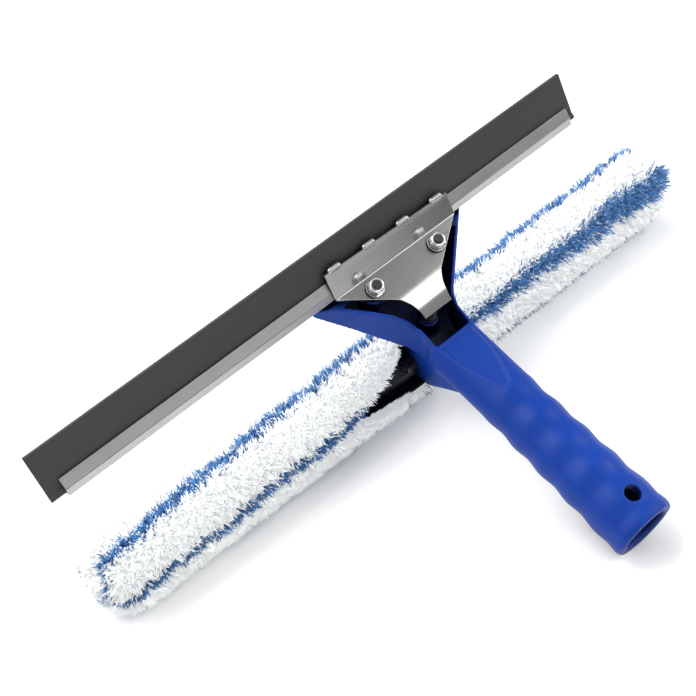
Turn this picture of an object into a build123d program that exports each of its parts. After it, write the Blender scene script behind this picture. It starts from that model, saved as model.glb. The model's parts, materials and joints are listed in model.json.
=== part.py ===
"""Two-in-one window tool: a clamped squeegee blade and a scrubber sleeve on one blue handle.

The tool is drawn in its own frame: x across the blade, y along the handle towards the blade,
z up from the handle axis to the clamp side. TOOL lays that frame down as the tool rests on a
table, on the sleeve and on the lower edge of the grip's end, with z = 0 at the table.
"""
from build123d import *
from math import asin, atan2, cos, degrees, hypot, pi, radians, sin
import os

os.makedirs("parts", exist_ok=True)

# ---------------------------------------------------------------- driving dimensions, mm
# rubber and channel
rubber_length = 355.6
rubber_width = 28.6
rubber_web = 2.0
bulb_r = 2.05
rubber_shift = -2.3          # how far the rubber sits left of the channel's middle
channel_length = 343.0
channel_shift = -38.0        # how far the channel sits left of the clamp's middle
channel_front = 19.3         # from the rubber's working edge
channel_bend = 25.6
channel_rear = 30.0
channel_front_h = 2.05
channel_bend_h = 3.35
channel_rear_h = 2.3
channel_groove = 0.28        # the rolled groove along the channel's bend
sheet = 0.7
blade_angle = 54.2           # between the blade's plane and the handle axis
edge_y = 44.0                # the rubber's working edge
edge_z = 53.8

# clamp plate and its fasteners
plate_sheet = 1.5
plate_half = 41.9
plate_lead = 3.0             # how far the plate's right corner reaches in front of the channel
plate_skew = 2.4             # how much further its left corner reaches
tongue_half = 9.3
tongue_under = 21.4          # the tongue's underside over the spring
ridge_bend = 2.5             # the bend radii of the pressed plate
knee_bend = 45.0
dip_bend = 14.0
tooth_pitch = 23.3
tooth_count = 4
tooth_length = 5.4           # between the middles of its round ends
tooth_r = 1.7
tooth_out = 0.5              # how far a tooth's middle stands before the plate's edge
bolt_pitch = 43.4
bolt_y = 15.5
bolt_r = 2.5
bolt_head_r = 4.2
bolt_head_h = 3.0
bolt_grip = 17.5             # from the plate's top down to the bolt's head
bolt_end = 1.2               # how far the bolt stands out of its nut
nut_flats = 8.0
nut_height = 5.0
washer_r = 5.0
washer_thick = 1.3
washer_dome = 0.5            # its coned underside, on which the plate rocks
boss_r = 6.6
boss_drop = 3.0              # from the plate's top down to the boss
clamp_travel = 8.0           # degrees that the plate rocks open

# handle
grip_r = 16.0
ring_count = 5
ring_pitch = 19.4
ring_first_y = -68.2
ring_peak_r = 16.3
ring_growth = 0.5
ring_depth = 1.0
end_y = -164.7
end_r = 18.5
end_round = 3.0
socket_r = 12.5
socket_depth = 100.0
socket_leadin = 1.3
lock_hole_r = 4.4
lock_hole_y = -149.5
lock_hole_turn = 7.0         # degrees round the handle axis
wall = 2.6
jaw_half = 53.0
waist_half = 13.4
waist_wall = 1.6             # the trough's thin wall at the waist
neck_half = 16.8             # half the trough's width where its arms begin
arm_front_y = 29.5
neck_front_y = -5.0
waist_y = -12.5
neck_y = -30.0               # where the trough runs out into the grip
stop_h = 1.0                 # the channel's rear stop, above the rubber's middle
facet_rear_y = -65.5
facet_rim = 1.4              # the raised rim left round the sunk facet
facet_sink = 0.8
facet_front_z = 10.3
facet_rear_z = 15.8
pocket_rear_y = -23.2
post_r = 6.0
post_top = 4.0
pin_r = 2.6
pin_top = 10.0
spring_r = 3.9
spring_wire = 1.0
spring_pitch = 2.6
spring_y = -4.0

# lower arm and T-bar
bar_y = 6.1
bar_z = -46.0
bar_length = 356.0
bar_wide = 26.0
bar_thick = 14.0
arm_half = 9.0
arm_root_y = -31.0
arm_root_z = -8.0
arm_back = 17.0              # the lower arm's depth behind and before the stem's axis
arm_fore = 11.0
stem_half = 4.5
stem_deep = 15.0
stem_length = 31.0
stem_bolt_at = 13.0          # from the bar's axis, along the stem
stem_bolt_r = 2.5
stem_washer_thick = 1.2

# sleeve
sleeve_r = 24.0
sleeve_left = -212.0
sleeve_right = 196.0
sleeve_end_thick = 3.0
slit_half = 17.0
tape_thick = 1.2

# clearances
slide_gap = 0.12
rock_gap = 0.35
fit_gap = 0.1
soft_gap = 0.3

# ---------------------------------------------------------------- the tool's frame at rest
reach_y = bar_y - end_y
reach_z = bar_z + end_r
tilt = degrees(asin(sleeve_r / hypot(reach_y, reach_z)) - atan2(reach_z, reach_y))
tilt_c = cos(radians(tilt))
tilt_s = sin(radians(tilt))
rest_height = sleeve_r - bar_y * tilt_s - bar_z * tilt_c
rubber_left = channel_shift + rubber_shift - rubber_length / 2
middle_x = (min(rubber_left, sleeve_left) + sleeve_right) / 2
back_y = end_y * tilt_c - end_r * tilt_s
front_y = max(bar_y * tilt_c - bar_z * tilt_s + sleeve_r, edge_y * tilt_c - edge_z * tilt_s)
middle_y = (back_y + front_y) / 2
TOOL = Plane(origin=(-middle_x, -middle_y, rest_height), x_dir=(1, 0, 0), z_dir=(0, -tilt_s, tilt_c))


def on(plane):
    """A plane given in the tool's own frame, laid down with the tool."""
    return Plane(TOOL.location * plane.location)


def side(x):
    """The side view at x: local x is the tool's y, local y is its z, and it extrudes to +x."""
    return on(Plane(origin=(x, 0, 0), x_dir=(0, 1, 0), z_dir=(1, 0, 0)))


def top(z):
    """The plan view at height z."""
    return on(Plane(origin=(0, 0, z), x_dir=(1, 0, 0), z_dir=(0, 0, 1)))


# ---------------------------------------------------------------- the blade's own plane
blade_c = cos(radians(blade_angle))
blade_s = sin(radians(blade_angle))


def jaw(back, height):
    """Tool (y, z) of a point so far behind the working edge and above the rubber's middle."""
    y = edge_y - back * blade_c - height * blade_s
    z = edge_z - back * blade_s + height * blade_c
    return (y, z)


def blade_section(x):
    """Section plane at x: local x runs back from the working edge, and it extrudes to -x."""
    return on(Plane(origin=(x, edge_y, edge_z), x_dir=(0, -blade_c, -blade_s), z_dir=(-1, 0, 0)))


# ---------------------------------------------------------------- rubber blade
bulb_at = rubber_width - bulb_r
rubber_right = rubber_left + rubber_length
with BuildPart() as rubber_blade:
    with BuildSketch(blade_section(rubber_right)):
        with Locations((bulb_at / 2, 0)):
            Rectangle(bulb_at, rubber_web)
        with Locations((bulb_at, 0)):
            Circle(bulb_r)
    extrude(amount=rubber_length)
rubber_blade.part.label = "rubber_blade"
export_step(rubber_blade.part, "parts/rubber_blade.step")

# ---------------------------------------------------------------- channel, folded from sheet
web_gap = rubber_web / 2 + slide_gap
channel_right = channel_shift + channel_length / 2
face_rise = (channel_bend_h - channel_front_h) / (channel_bend - channel_front)
groove_h = face_rise * channel_groove
with BuildPart() as channel:
    with BuildSketch(blade_section(channel_right)):
        with BuildLine():
            Polyline(
                (channel_front, -channel_front_h),
                (channel_bend - channel_groove, groove_h - channel_bend_h),
                (channel_bend, channel_groove - channel_bend_h),
                (channel_bend + channel_groove, -channel_bend_h),
                (channel_rear, -channel_rear_h),
                (channel_rear, channel_rear_h),
                (channel_bend + channel_groove, channel_bend_h),
                (channel_bend, channel_bend_h - channel_groove),
                (channel_bend - channel_groove, channel_bend_h - groove_h),
                (channel_front, channel_front_h),
                close=True,
            )
        make_face()
        inner_bend_h = channel_bend_h - sheet
        with BuildLine(mode=Mode.PRIVATE) as inside:
            Polyline(
                (channel_front - 1, web_gap),
                (bulb_at - bulb_r - sheet, web_gap),
                (channel_bend, inner_bend_h),
                (channel_rear - sheet, channel_rear_h - sheet),
                (channel_rear - sheet, sheet - channel_rear_h),
                (channel_bend, -inner_bend_h),
                (bulb_at - bulb_r - sheet, -web_gap),
                (channel_front - 1, -web_gap),
                close=True,
            )
        make_face(inside.edges(), mode=Mode.SUBTRACT)
    extrude(amount=channel_length)
channel.part.label = "channel"
export_step(channel.part, "parts/channel.step")

# ---------------------------------------------------------------- clamp plate
plate_mid_h = channel_bend_h + slide_gap + plate_sheet / 2
plate_front = channel_front - plate_lead
front = jaw(plate_front - plate_skew, plate_mid_h)
ridge = jaw(channel_rear - 0.8, plate_mid_h)
knee = (3.0, 27.4)
dip = (-6.5, 23.6)
tip = (-10.8, 20.8)
panel_slope = atan2(ridge[1] - knee[1], ridge[0] - knee[0])
panel_c = cos(panel_slope)
panel_s = sin(panel_slope)
pivot_y = bolt_y
pivot_z = knee[1] + (bolt_y - knee[0]) * panel_s / panel_c + plate_sheet / 2 / panel_c


def panel(x, height):
    """Plane parallel to the clamp's rear panel, so far above its top, centred on a bolt at x."""
    origin = (x, pivot_y - height * panel_s, pivot_z + height * panel_c)
    return on(Plane(origin=origin, x_dir=(1, 0, 0), z_dir=(0, -panel_s, panel_c)))


def blade_plan(height):
    """Plane along the blade, so far above it: local x is across, local y runs to the edge."""
    return on(Plane(origin=(0, *jaw(0, height)), x_dir=(1, 0, 0), z_dir=(0, -blade_s, blade_c)))


def plate_edge(x):
    """How far forward the plate's slanting front edge is at x, from the rubber's working edge."""
    return plate_skew * (plate_half - x) / (2 * plate_half) - plate_front


bolt_xs = {"left": -bolt_pitch / 2, "right": bolt_pitch / 2}
tooth_xs = [(i - (tooth_count - 1) / 2) * tooth_pitch for i in range(tooth_count)]
with BuildPart() as clamp_plate:
    with BuildSketch(side(-plate_half)):
        with BuildLine() as bend_line:
            FilletPolyline(front, ridge, knee, dip, tip, radius=[ridge_bend, knee_bend, dip_bend])
        trace(bend_line.line, line_width=plate_sheet)
    extrude(amount=2 * plate_half)
    with BuildSketch(top(0)):
        with BuildLine():
            rear_corner = (plate_half, ridge[0] - 0.5)
            Polyline((0, edge_y), (plate_half, edge_y), rear_corner, (15.5, 4.2))
            Spline(
                (15.5, 4.2),
                (11.4, -1.6),
                (tongue_half, tip[0] + 1),
                tangents=[(rear_corner[0] - 15.5, rear_corner[1] - 4.2), (0, -1)],
                tangent_scalars=[-0.4, 0.5],
            )
            Polyline((tongue_half, tip[0] + 1), (tongue_half, tip[0] - 5), (0, tip[0] - 5))
            mirror(about=Plane.YZ)
        make_face()
    extrude(amount=2 * edge_z, mode=Mode.INTERSECT)
    with BuildSketch(blade_plan(plate_mid_h - plate_sheet)):
        with BuildLine():
            Polyline(
                (-plate_half - 1, plate_edge(-plate_half - 1)),
                (plate_half + 1, plate_edge(plate_half + 1)),
                (plate_half + 1, 0),
                (-plate_half - 1, 0),
                close=True,
            )
        make_face()
    extrude(amount=2 * plate_sheet, mode=Mode.SUBTRACT)
    for x in tooth_xs:
        tooth_at = jaw(-plate_edge(x) - tooth_out, plate_mid_h)
        with BuildSketch(side(x - tooth_length / 2)):
            with Locations(tooth_at):
                Circle(tooth_r)
        extrude(amount=tooth_length)
        for end in (-tooth_length / 2, tooth_length / 2):
            with Locations(on(Plane(origin=(x + end, *tooth_at))).location):
                Sphere(tooth_r)
    for x in bolt_xs.values():
        with BuildSketch(panel(x, 1)):
            Circle(bolt_r + 0.9)
        extrude(amount=-2 * plate_sheet - 1, mode=Mode.SUBTRACT)
clamp_plate.part.label = "clamp_plate"
export_step(clamp_plate.part, "parts/clamp_plate.step")

# ---------------------------------------------------------------- clamp bolts, washers, nuts
washer_at = rock_gap
nut_at = washer_at + washer_thick
bolt_top = nut_at + nut_height + bolt_end
for where, x in bolt_xs.items():
    with BuildPart() as washer:
        with Locations(panel(x, washer_at).location):
            Cone(
                bottom_radius=bolt_r + 2 * fit_gap,
                top_radius=washer_r,
                height=washer_dome,
                align=(Align.CENTER, Align.CENTER, Align.MIN),
            )
        with BuildSketch(panel(x, washer_at + washer_dome)):
            Circle(washer_r)
        extrude(amount=washer_thick - washer_dome)
        with BuildSketch(panel(x, washer_at)):
            Circle(bolt_r + fit_gap)
        extrude(amount=washer_thick, mode=Mode.SUBTRACT)
    washer.part.label = f"clamp_washer_{where}"
    export_step(washer.part, f"parts/clamp_washer_{where}.step")
    with BuildPart() as nut:
        with BuildSketch(panel(x, nut_at)):
            RegularPolygon(radius=nut_flats / 2, side_count=6, major_radius=False)
        extrude(amount=nut_height * 0.75)
        with BuildSketch(panel(x, nut_at)):
            Circle(nut_flats / 2 - 0.1)
        extrude(amount=nut_height)
        collar_rim = nut.edges().filter_by(GeomType.CIRCLE).sort_by(TOOL.location.z_axis)[-1]
        fillet(collar_rim, 0.8)
        with BuildSketch(panel(x, nut_at)):
            Circle(bolt_r + fit_gap)
        extrude(amount=nut_height, mode=Mode.SUBTRACT)
    nut.part.label = f"clamp_nut_{where}"
    export_step(nut.part, f"parts/clamp_nut_{where}.step")
    with BuildPart() as bolt:
        with BuildSketch(panel(x, bolt_top)):
            Circle(bolt_r)
        extrude(amount=-bolt_top - bolt_grip)
        with BuildSketch(panel(x, -bolt_grip)):
            Circle(bolt_head_r)
        extrude(amount=-bolt_head_h)
        chamfer(bolt.edges().group_by(TOOL.location.z_axis)[-1], 0.4)
    bolt.part.label = f"clamp_bolt_{where}"
    export_step(bolt.part, f"parts/clamp_bolt_{where}.step")

# ---------------------------------------------------------------- handle body
grip_axis = Axis(TOOL.origin, TOOL.y_dir)
with BuildPart() as grip:
    with BuildSketch(side(0)):
        with BuildLine():
            ripple = [(facet_rear_y + 3, grip_r)]
            for k in range(ring_count):
                peak_y = ring_first_y - k * ring_pitch
                peak_r = ring_peak_r + k * ring_growth
                ripple.append((peak_y, peak_r))
                ripple.append((peak_y - ring_pitch / 2, peak_r + ring_growth / 2 - ring_depth))
            ripple[-1] = (ripple[-1][0], ring_peak_r + ring_count * ring_growth - ring_depth)
            ripple.append((end_y + end_round, end_r))
            Polyline((facet_rear_y + 3, grip_r), (neck_y + 8, grip_r), (neck_y + 8, 0), (end_y, 0))
            Spline(*ripple, tangents=[(-1, 0), (-1, 0.1)])
            Polyline((end_y + end_round, end_r), (end_y, end_r - 1.0), (end_y, 0))
        make_face()
    revolve(axis=grip_axis)
    with BuildSketch(side(-2 * grip_r)):
        with BuildLine():
            Polyline(
                (facet_rear_y, facet_rear_z),
                (pocket_rear_y, facet_front_z),
                (pocket_rear_y + 20, facet_front_z),
                (pocket_rear_y + 20, 2 * grip_r),
                (facet_rear_y, 2 * grip_r),
                close=True,
            )
        make_face()
    extrude(amount=4 * grip_r, mode=Mode.SUBTRACT)

stop_back = channel_rear + 3.2
under_h = -channel_bend_h - slide_gap
rim = [(16.4, 26.7), (9.3, 25.2), (1.5, 22.3), (-3.3, 18.2), (-7.0, 14.4), (-16.0, 12.2)]
lower = [(-23.0, -15.8), (-3.0, -7.5), (15.5, 8.2), jaw(37.0, -8.8), jaw(24.0, -8.2)]
with BuildPart() as head:
    with BuildSketch(side(-jaw_half)):
        with BuildLine():
            Polyline(
                jaw(17.5, -7.5),
                jaw(17.5, under_h),
                jaw(stop_back, under_h),
                jaw(stop_back, stop_h),
                *rim,
                (neck_y, 9.0),
                (neck_y, -14.0),
                *lower,
                close=True,
            )
        make_face()
    extrude(amount=2 * jaw_half)
    with BuildSketch(top(-2 * grip_r)):
        with BuildLine():
            FilletPolyline(
                (0, edge_y),
                (jaw_half - 3, edge_y),
                (jaw_half, arm_front_y),
                (neck_half, neck_front_y),
                (waist_half, waist_y),
                (waist_half, neck_y - 5),
                (0, neck_y - 5),
                radius=[3, 3, 12, 8, 0.5],
            )
            mirror(about=Plane.YZ)
        make_face()
    extrude(amount=4 * grip_r + edge_z, mode=Mode.INTERSECT)

floor_front = jaw(stop_back + 2.8, -8.6 + wall)
with BuildPart() as pocket:
    with BuildSketch(side(-jaw_half)):
        with BuildLine():
            Polyline(
                jaw(stop_back + 2.8, 40),
                floor_front,
                (13.5, 10.2),
                (-4.5, -4.5),
                (-18.0, -10.0),
                (pocket_rear_y, -6.0),
                (pocket_rear_y, 60),
                close=True,
            )
        make_face()
    extrude(amount=2 * jaw_half)
    with BuildSketch(top(-2 * grip_r)):
        with BuildLine():
            FilletPolyline(
                (0, edge_y),
                (jaw_half - 3 - wall, edge_y),
                (jaw_half - wall - 0.6, arm_front_y),
                (neck_half - wall, neck_front_y),
                (waist_half - waist_wall, waist_y),
                (waist_half - waist_wall, neck_y - 5),
                (0, neck_y - 5),
                radius=[2, 2, 9, 8, 0.5],
            )
            mirror(about=Plane.YZ)
        make_face()
    extrude(amount=6 * grip_r + edge_z, mode=Mode.INTERSECT)
    for x in bolt_xs.values():
        with BuildSketch(panel(x, -boss_drop)):
            Circle(boss_r)
        extrude(amount=-3 * bolt_grip, mode=Mode.SUBTRACT)
    with BuildSketch(top(post_top)):
        with Locations((0, spring_y)):
            Circle(post_r)
    extrude(amount=-2 * grip_r, mode=Mode.SUBTRACT)
    with BuildSketch(top(pin_top)):
        with Locations((0, spring_y)):
            Circle(pin_r)
    extrude(amount=-2 * grip_r, mode=Mode.SUBTRACT)

arm_run = hypot(arm_root_y - bar_y, arm_root_z - bar_z)
arm_u = ((arm_root_y - bar_y) / arm_run, (arm_root_z - bar_z) / arm_run)


def arm(along, across):
    """Tool (y, z) of a point so far up the lower arm from the T-bar's axis, and before it."""
    return (bar_y + along * arm_u[0] + across * arm_u[1], bar_z + along * arm_u[1] - across * arm_u[0])


def arm_plane(x):
    """Section plane at x: local x runs up the lower arm, local y to its rear, extruding to +x."""
    return on(Plane(origin=(x, bar_y, bar_z), x_dir=(0, *arm_u), z_dir=(1, 0, 0)))


arm_foot = bar_thick / 2 + fit_gap
facet_length = hypot(facet_rear_y - pocket_rear_y, facet_rear_z - facet_front_z)
facet_rise = (facet_rear_z - facet_front_z) / facet_length
facet_run = (facet_rear_y - pocket_rear_y) / facet_length
facet_plane = Plane(
    origin=(0, pocket_rear_y, facet_front_z),
    x_dir=(-1, 0, 0),
    z_dir=(0, facet_rise, -facet_run),
)
with BuildPart() as handle_body:
    add(grip.part)
    add(head.part)
    with BuildSketch(on(facet_plane)):
        with BuildLine():
            edge_x = waist_half - facet_rim
            Polyline((0, facet_rim), (edge_x - 0.8, facet_rim))
            Spline(
                (edge_x - 0.8, facet_rim),
                (edge_x - 3.6, 0.55 * facet_length),
                (1.2, facet_length - 2),
                tangents=[(-0.05, 1), (-0.55, 1)],
            )
            Polyline((1.2, facet_length - 2), (0, facet_length - 2))
            mirror(about=Plane.YZ)
        make_face()
    extrude(amount=-facet_sink, mode=Mode.SUBTRACT)
    with BuildSketch(side(-arm_half)):
        with BuildLine():
            Polyline(
                arm(60, -arm_back),
                arm(16, -arm_back),
                arm(arm_foot, -9),
                arm(arm_foot, arm_fore),
                arm(48, arm_fore),
                close=True,
            )
        make_face()
    extrude(amount=2 * arm_half)
    add(pocket.part, mode=Mode.SUBTRACT)
    # pole socket and its lead-in
    with BuildSketch(on(Plane(origin=(0, end_y, 0), x_dir=(1, 0, 0), z_dir=(0, 1, 0)))):
        Circle(socket_r)
    extrude(amount=socket_depth, mode=Mode.SUBTRACT)
    mouth = handle_body.edges().filter_by(GeomType.CIRCLE).sort_by(grip_axis)[0:2]
    chamfer(mouth.sort_by(SortBy.RADIUS)[0], socket_leadin)
    # cross hole for a pole's catch or a hook
    hole_c = cos(radians(lock_hole_turn))
    hole_s = sin(radians(lock_hole_turn))
    hole_plane = Plane(origin=(0, lock_hole_y, 0), x_dir=(hole_c, 0, -hole_s), z_dir=(hole_s, 0, hole_c))
    with BuildSketch(on(hole_plane)):
        Circle(lock_hole_r)
    extrude(amount=2 * grip_r, both=True, mode=Mode.SUBTRACT)
    # clamp bolts and their head recesses
    for x in bolt_xs.values():
        with BuildSketch(panel(x, 0)):
            Circle(bolt_r + fit_gap)
        extrude(amount=-bolt_grip - 20, mode=Mode.SUBTRACT)
        with BuildSketch(panel(x, -bolt_grip)):
            Circle(bolt_head_r + 0.4)
        extrude(amount=-20, mode=Mode.SUBTRACT)
    # stem socket and its cross bolt
    with BuildSketch(arm_plane(-stem_half - fit_gap)):
        with Locations(((stem_length + fit_gap) / 2, 0)):
            Rectangle(stem_length + fit_gap, stem_deep + 2 * fit_gap)
    extrude(amount=2 * stem_half + 2 * fit_gap, mode=Mode.SUBTRACT)
    with BuildSketch(arm_plane(-2 * arm_half)):
        with Locations((stem_bolt_at, 0)):
            Circle(stem_bolt_r + fit_gap)
    extrude(amount=4 * arm_half, mode=Mode.SUBTRACT)
handle_body.part.label = "handle_body"
export_step(handle_body.part, "parts/handle_body.step")

# ---------------------------------------------------------------- tongue spring
spring_bottom = post_top + spring_wire / 2
spring_height = tongue_under - spring_wire - post_top
with BuildPart() as tongue_spring:
    with BuildLine():
        coil = Helix(
            pitch=spring_pitch,
            height=spring_height,
            radius=spring_r,
            center=TOOL.from_local_coords(Vector(0, spring_y, spring_bottom)),
            direction=TOOL.z_dir,
        )
    with BuildSketch(Plane(origin=coil @ 0, z_dir=coil % 0)):
        Circle(spring_wire / 2)
    sweep(path=coil, is_frenet=True)
tongue_spring.part.label = "tongue_spring"
export_step(tongue_spring.part, "parts/tongue_spring.step")

# ---------------------------------------------------------------- T-bar and its cross bolt
with BuildPart() as t_bar:
    with BuildSketch(arm_plane(-bar_length / 2)):
        RectangleRounded(bar_thick, bar_wide, bar_thick / 2 - 0.5)
    extrude(amount=bar_length)
    with BuildSketch(arm_plane(-stem_half)):
        with Locations((stem_length / 2, 0)):
            Rectangle(stem_length, stem_deep)
    extrude(amount=2 * stem_half)
    with BuildSketch(arm_plane(-stem_half)):
        with Locations((stem_bolt_at, 0)):
            Circle(stem_bolt_r + fit_gap)
    extrude(amount=2 * stem_half, mode=Mode.SUBTRACT)
t_bar.part.label = "t_bar"
export_step(t_bar.part, "parts/t_bar.step")

stem_nut_x = -arm_half - stem_washer_thick - nut_height
with BuildPart() as stem_bolt:
    with BuildSketch(arm_plane(stem_nut_x - bolt_end)):
        with Locations((stem_bolt_at, 0)):
            Circle(stem_bolt_r)
    extrude(amount=arm_half - stem_nut_x + bolt_end)
    with BuildSketch(arm_plane(arm_half)):
        with Locations((stem_bolt_at, 0)):
            Circle(bolt_head_r)
    extrude(amount=bolt_head_h)
stem_bolt.part.label = "stem_bolt"
export_step(stem_bolt.part, "parts/stem_bolt.step")

with BuildPart() as stem_washer:
    with BuildSketch(arm_plane(-arm_half - stem_washer_thick)):
        with Locations((stem_bolt_at, 0)):
            Circle(washer_r)
            Circle(stem_bolt_r + fit_gap, mode=Mode.SUBTRACT)
    extrude(amount=stem_washer_thick)
stem_washer.part.label = "stem_washer"
export_step(stem_washer.part, "parts/stem_washer.step")

with BuildPart() as stem_nut:
    with BuildSketch(arm_plane(stem_nut_x)):
        with Locations((stem_bolt_at, 0)):
            RegularPolygon(radius=nut_flats / 2, side_count=6, major_radius=False)
            Circle(stem_bolt_r + fit_gap, mode=Mode.SUBTRACT)
    extrude(amount=nut_height)
stem_nut.part.label = "stem_nut"
export_step(stem_nut.part, "parts/stem_nut.step")

# ---------------------------------------------------------------- sleeve
slit_back = arm_back + 4.5
slit_fore = arm_fore + 5.0
with BuildPart() as sleeve_pile:
    with BuildSketch(arm_plane(sleeve_left + sleeve_end_thick)):
        Circle(sleeve_r)
    extrude(amount=sleeve_right - sleeve_left - 2 * sleeve_end_thick)
    with BuildSketch(arm_plane(-bar_length / 2 - 1)):
        RectangleRounded(bar_thick + 2 * soft_gap, bar_wide + 2 * soft_gap, bar_thick / 2 - 0.5)
    extrude(amount=bar_length + 2, mode=Mode.SUBTRACT)
    with BuildSketch(arm_plane(-slit_half)):
        with BuildLine():
            Polyline(
                (0, slit_back),
                (2 * sleeve_r, slit_back),
                (2 * sleeve_r, -slit_fore),
                (0, -slit_fore),
                close=True,
            )
        make_face()
    extrude(amount=2 * slit_half, mode=Mode.SUBTRACT)
sleeve_pile.part.label = "sleeve_pile"
export_step(sleeve_pile.part, "parts/sleeve_pile.step")

ends = {"left": sleeve_left + sleeve_end_thick, "right": sleeve_right - sleeve_end_thick}
for where, x in ends.items():
    outward = -1 if where == "left" else 1
    with BuildPart() as sleeve_end:
        with BuildSketch(arm_plane(x)):
            Circle(sleeve_r)
        extrude(amount=outward * sleeve_end_thick)
        rim_edge = sleeve_end.edges().sort_by(Axis.X)[0 if outward < 0 else -1]
        fillet(rim_edge, sleeve_end_thick * 0.9)
    sleeve_end.part.label = f"sleeve_end_{where}"
    export_step(sleeve_end.part, f"parts/sleeve_end_{where}.step")

tape_at = {"loop_tape": slit_fore - tape_thick, "hook_tape": slit_fore - 2 * tape_thick}
for name, across in tape_at.items():
    with BuildPart() as tape:
        with BuildSketch(arm_plane(-slit_half + 4)):
            with Locations((14, -across - tape_thick / 2)):
                Rectangle(14, tape_thick)
        extrude(amount=2 * slit_half - 8)
    tape.part.label = name
    export_step(tape.part, f"parts/{name}.step")
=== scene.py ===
# %% [markdown]
# # A two-in-one window tool
#
# The tool washes and wipes with one handle. A clamp holds a steel channel with a rubber blade,
# and below it a fluffy sleeve covers a T-bar. The measured parts come ready made, in metres and
# at rest on a table at z = 0. This lesson gives them their finishes, and builds what a
# measured solid can't show: the moulded roundness of the handle, and the sleeve's pile.

import json
import math

import bpy
import numpy as np
from mathutils import Matrix, Vector, kdtree


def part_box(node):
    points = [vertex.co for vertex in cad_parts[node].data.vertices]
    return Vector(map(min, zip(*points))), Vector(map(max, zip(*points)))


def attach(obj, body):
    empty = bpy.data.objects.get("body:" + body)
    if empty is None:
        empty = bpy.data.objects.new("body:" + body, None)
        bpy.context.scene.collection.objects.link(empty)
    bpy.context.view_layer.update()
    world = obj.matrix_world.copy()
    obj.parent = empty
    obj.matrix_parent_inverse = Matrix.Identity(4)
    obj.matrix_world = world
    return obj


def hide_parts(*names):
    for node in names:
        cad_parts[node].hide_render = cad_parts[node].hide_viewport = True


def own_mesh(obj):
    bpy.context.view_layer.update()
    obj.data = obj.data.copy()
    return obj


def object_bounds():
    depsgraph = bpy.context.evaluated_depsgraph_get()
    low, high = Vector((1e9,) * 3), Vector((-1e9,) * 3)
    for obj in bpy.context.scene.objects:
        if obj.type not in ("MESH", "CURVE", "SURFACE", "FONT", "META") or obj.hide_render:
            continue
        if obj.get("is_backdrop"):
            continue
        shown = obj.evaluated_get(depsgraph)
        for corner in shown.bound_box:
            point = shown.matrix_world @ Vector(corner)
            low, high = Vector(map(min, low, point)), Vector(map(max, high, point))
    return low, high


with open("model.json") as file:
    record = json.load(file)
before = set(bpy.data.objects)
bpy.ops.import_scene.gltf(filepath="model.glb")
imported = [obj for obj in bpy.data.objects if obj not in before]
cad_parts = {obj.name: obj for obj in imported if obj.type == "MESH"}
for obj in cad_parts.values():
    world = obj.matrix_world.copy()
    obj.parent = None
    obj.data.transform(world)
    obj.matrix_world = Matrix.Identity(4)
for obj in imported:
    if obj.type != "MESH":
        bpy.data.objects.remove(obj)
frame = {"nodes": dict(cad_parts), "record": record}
cad_low, cad_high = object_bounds()
nodes = frame["nodes"]
print("parts:", len(nodes), "box:", [round(x, 4) for x in cad_high - cad_low])

# %% [markdown]
# ## The tool's own directions
#
# The tool lies tilted, on its sleeve and on the end of its grip. The record says where the pole
# socket in the grip is and how it points, so the handle's direction comes from there. The
# sleeve's axis is the middle of its end caps.

# %% Directions and the sleeve's axis
socket = {m["name"]: m for m in frame["record"]["mounts"]}["pole_socket"]
ACROSS = Vector((1, 0, 0))
ALONG = -Vector(socket["axis"])
UP = ACROSS.cross(ALONG)
AXIS_POINT = Vector(socket["pos_m"])


def middle(node):
    """The middle of a part's box."""
    low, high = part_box(node)
    return (low + high) / 2


left_low, left_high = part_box("sleeve_end_left")
right_low, right_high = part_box("sleeve_end_right")
SLEEVE_LEFT = left_low.x
SLEEVE_RIGHT = right_high.x
SLEEVE_R = (left_high.z - left_low.z) / 2
SLEEVE_MID = middle("sleeve_end_left")
STEM = middle("stem_nut") - SLEEVE_MID
STEM = Vector((0, STEM.y, STEM.z)).normalized()
print("sleeve:", [round(x, 4) for x in (SLEEVE_LEFT, SLEEVE_RIGHT, SLEEVE_R)])

# %% [markdown]
# ## Shader sums
#
# A finish is a small network of nodes. Long sums of Math nodes are hard to read, so one small
# class wraps a socket, and ordinary arithmetic on it adds the Math nodes. Every other node
# comes from its node() method.


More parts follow.
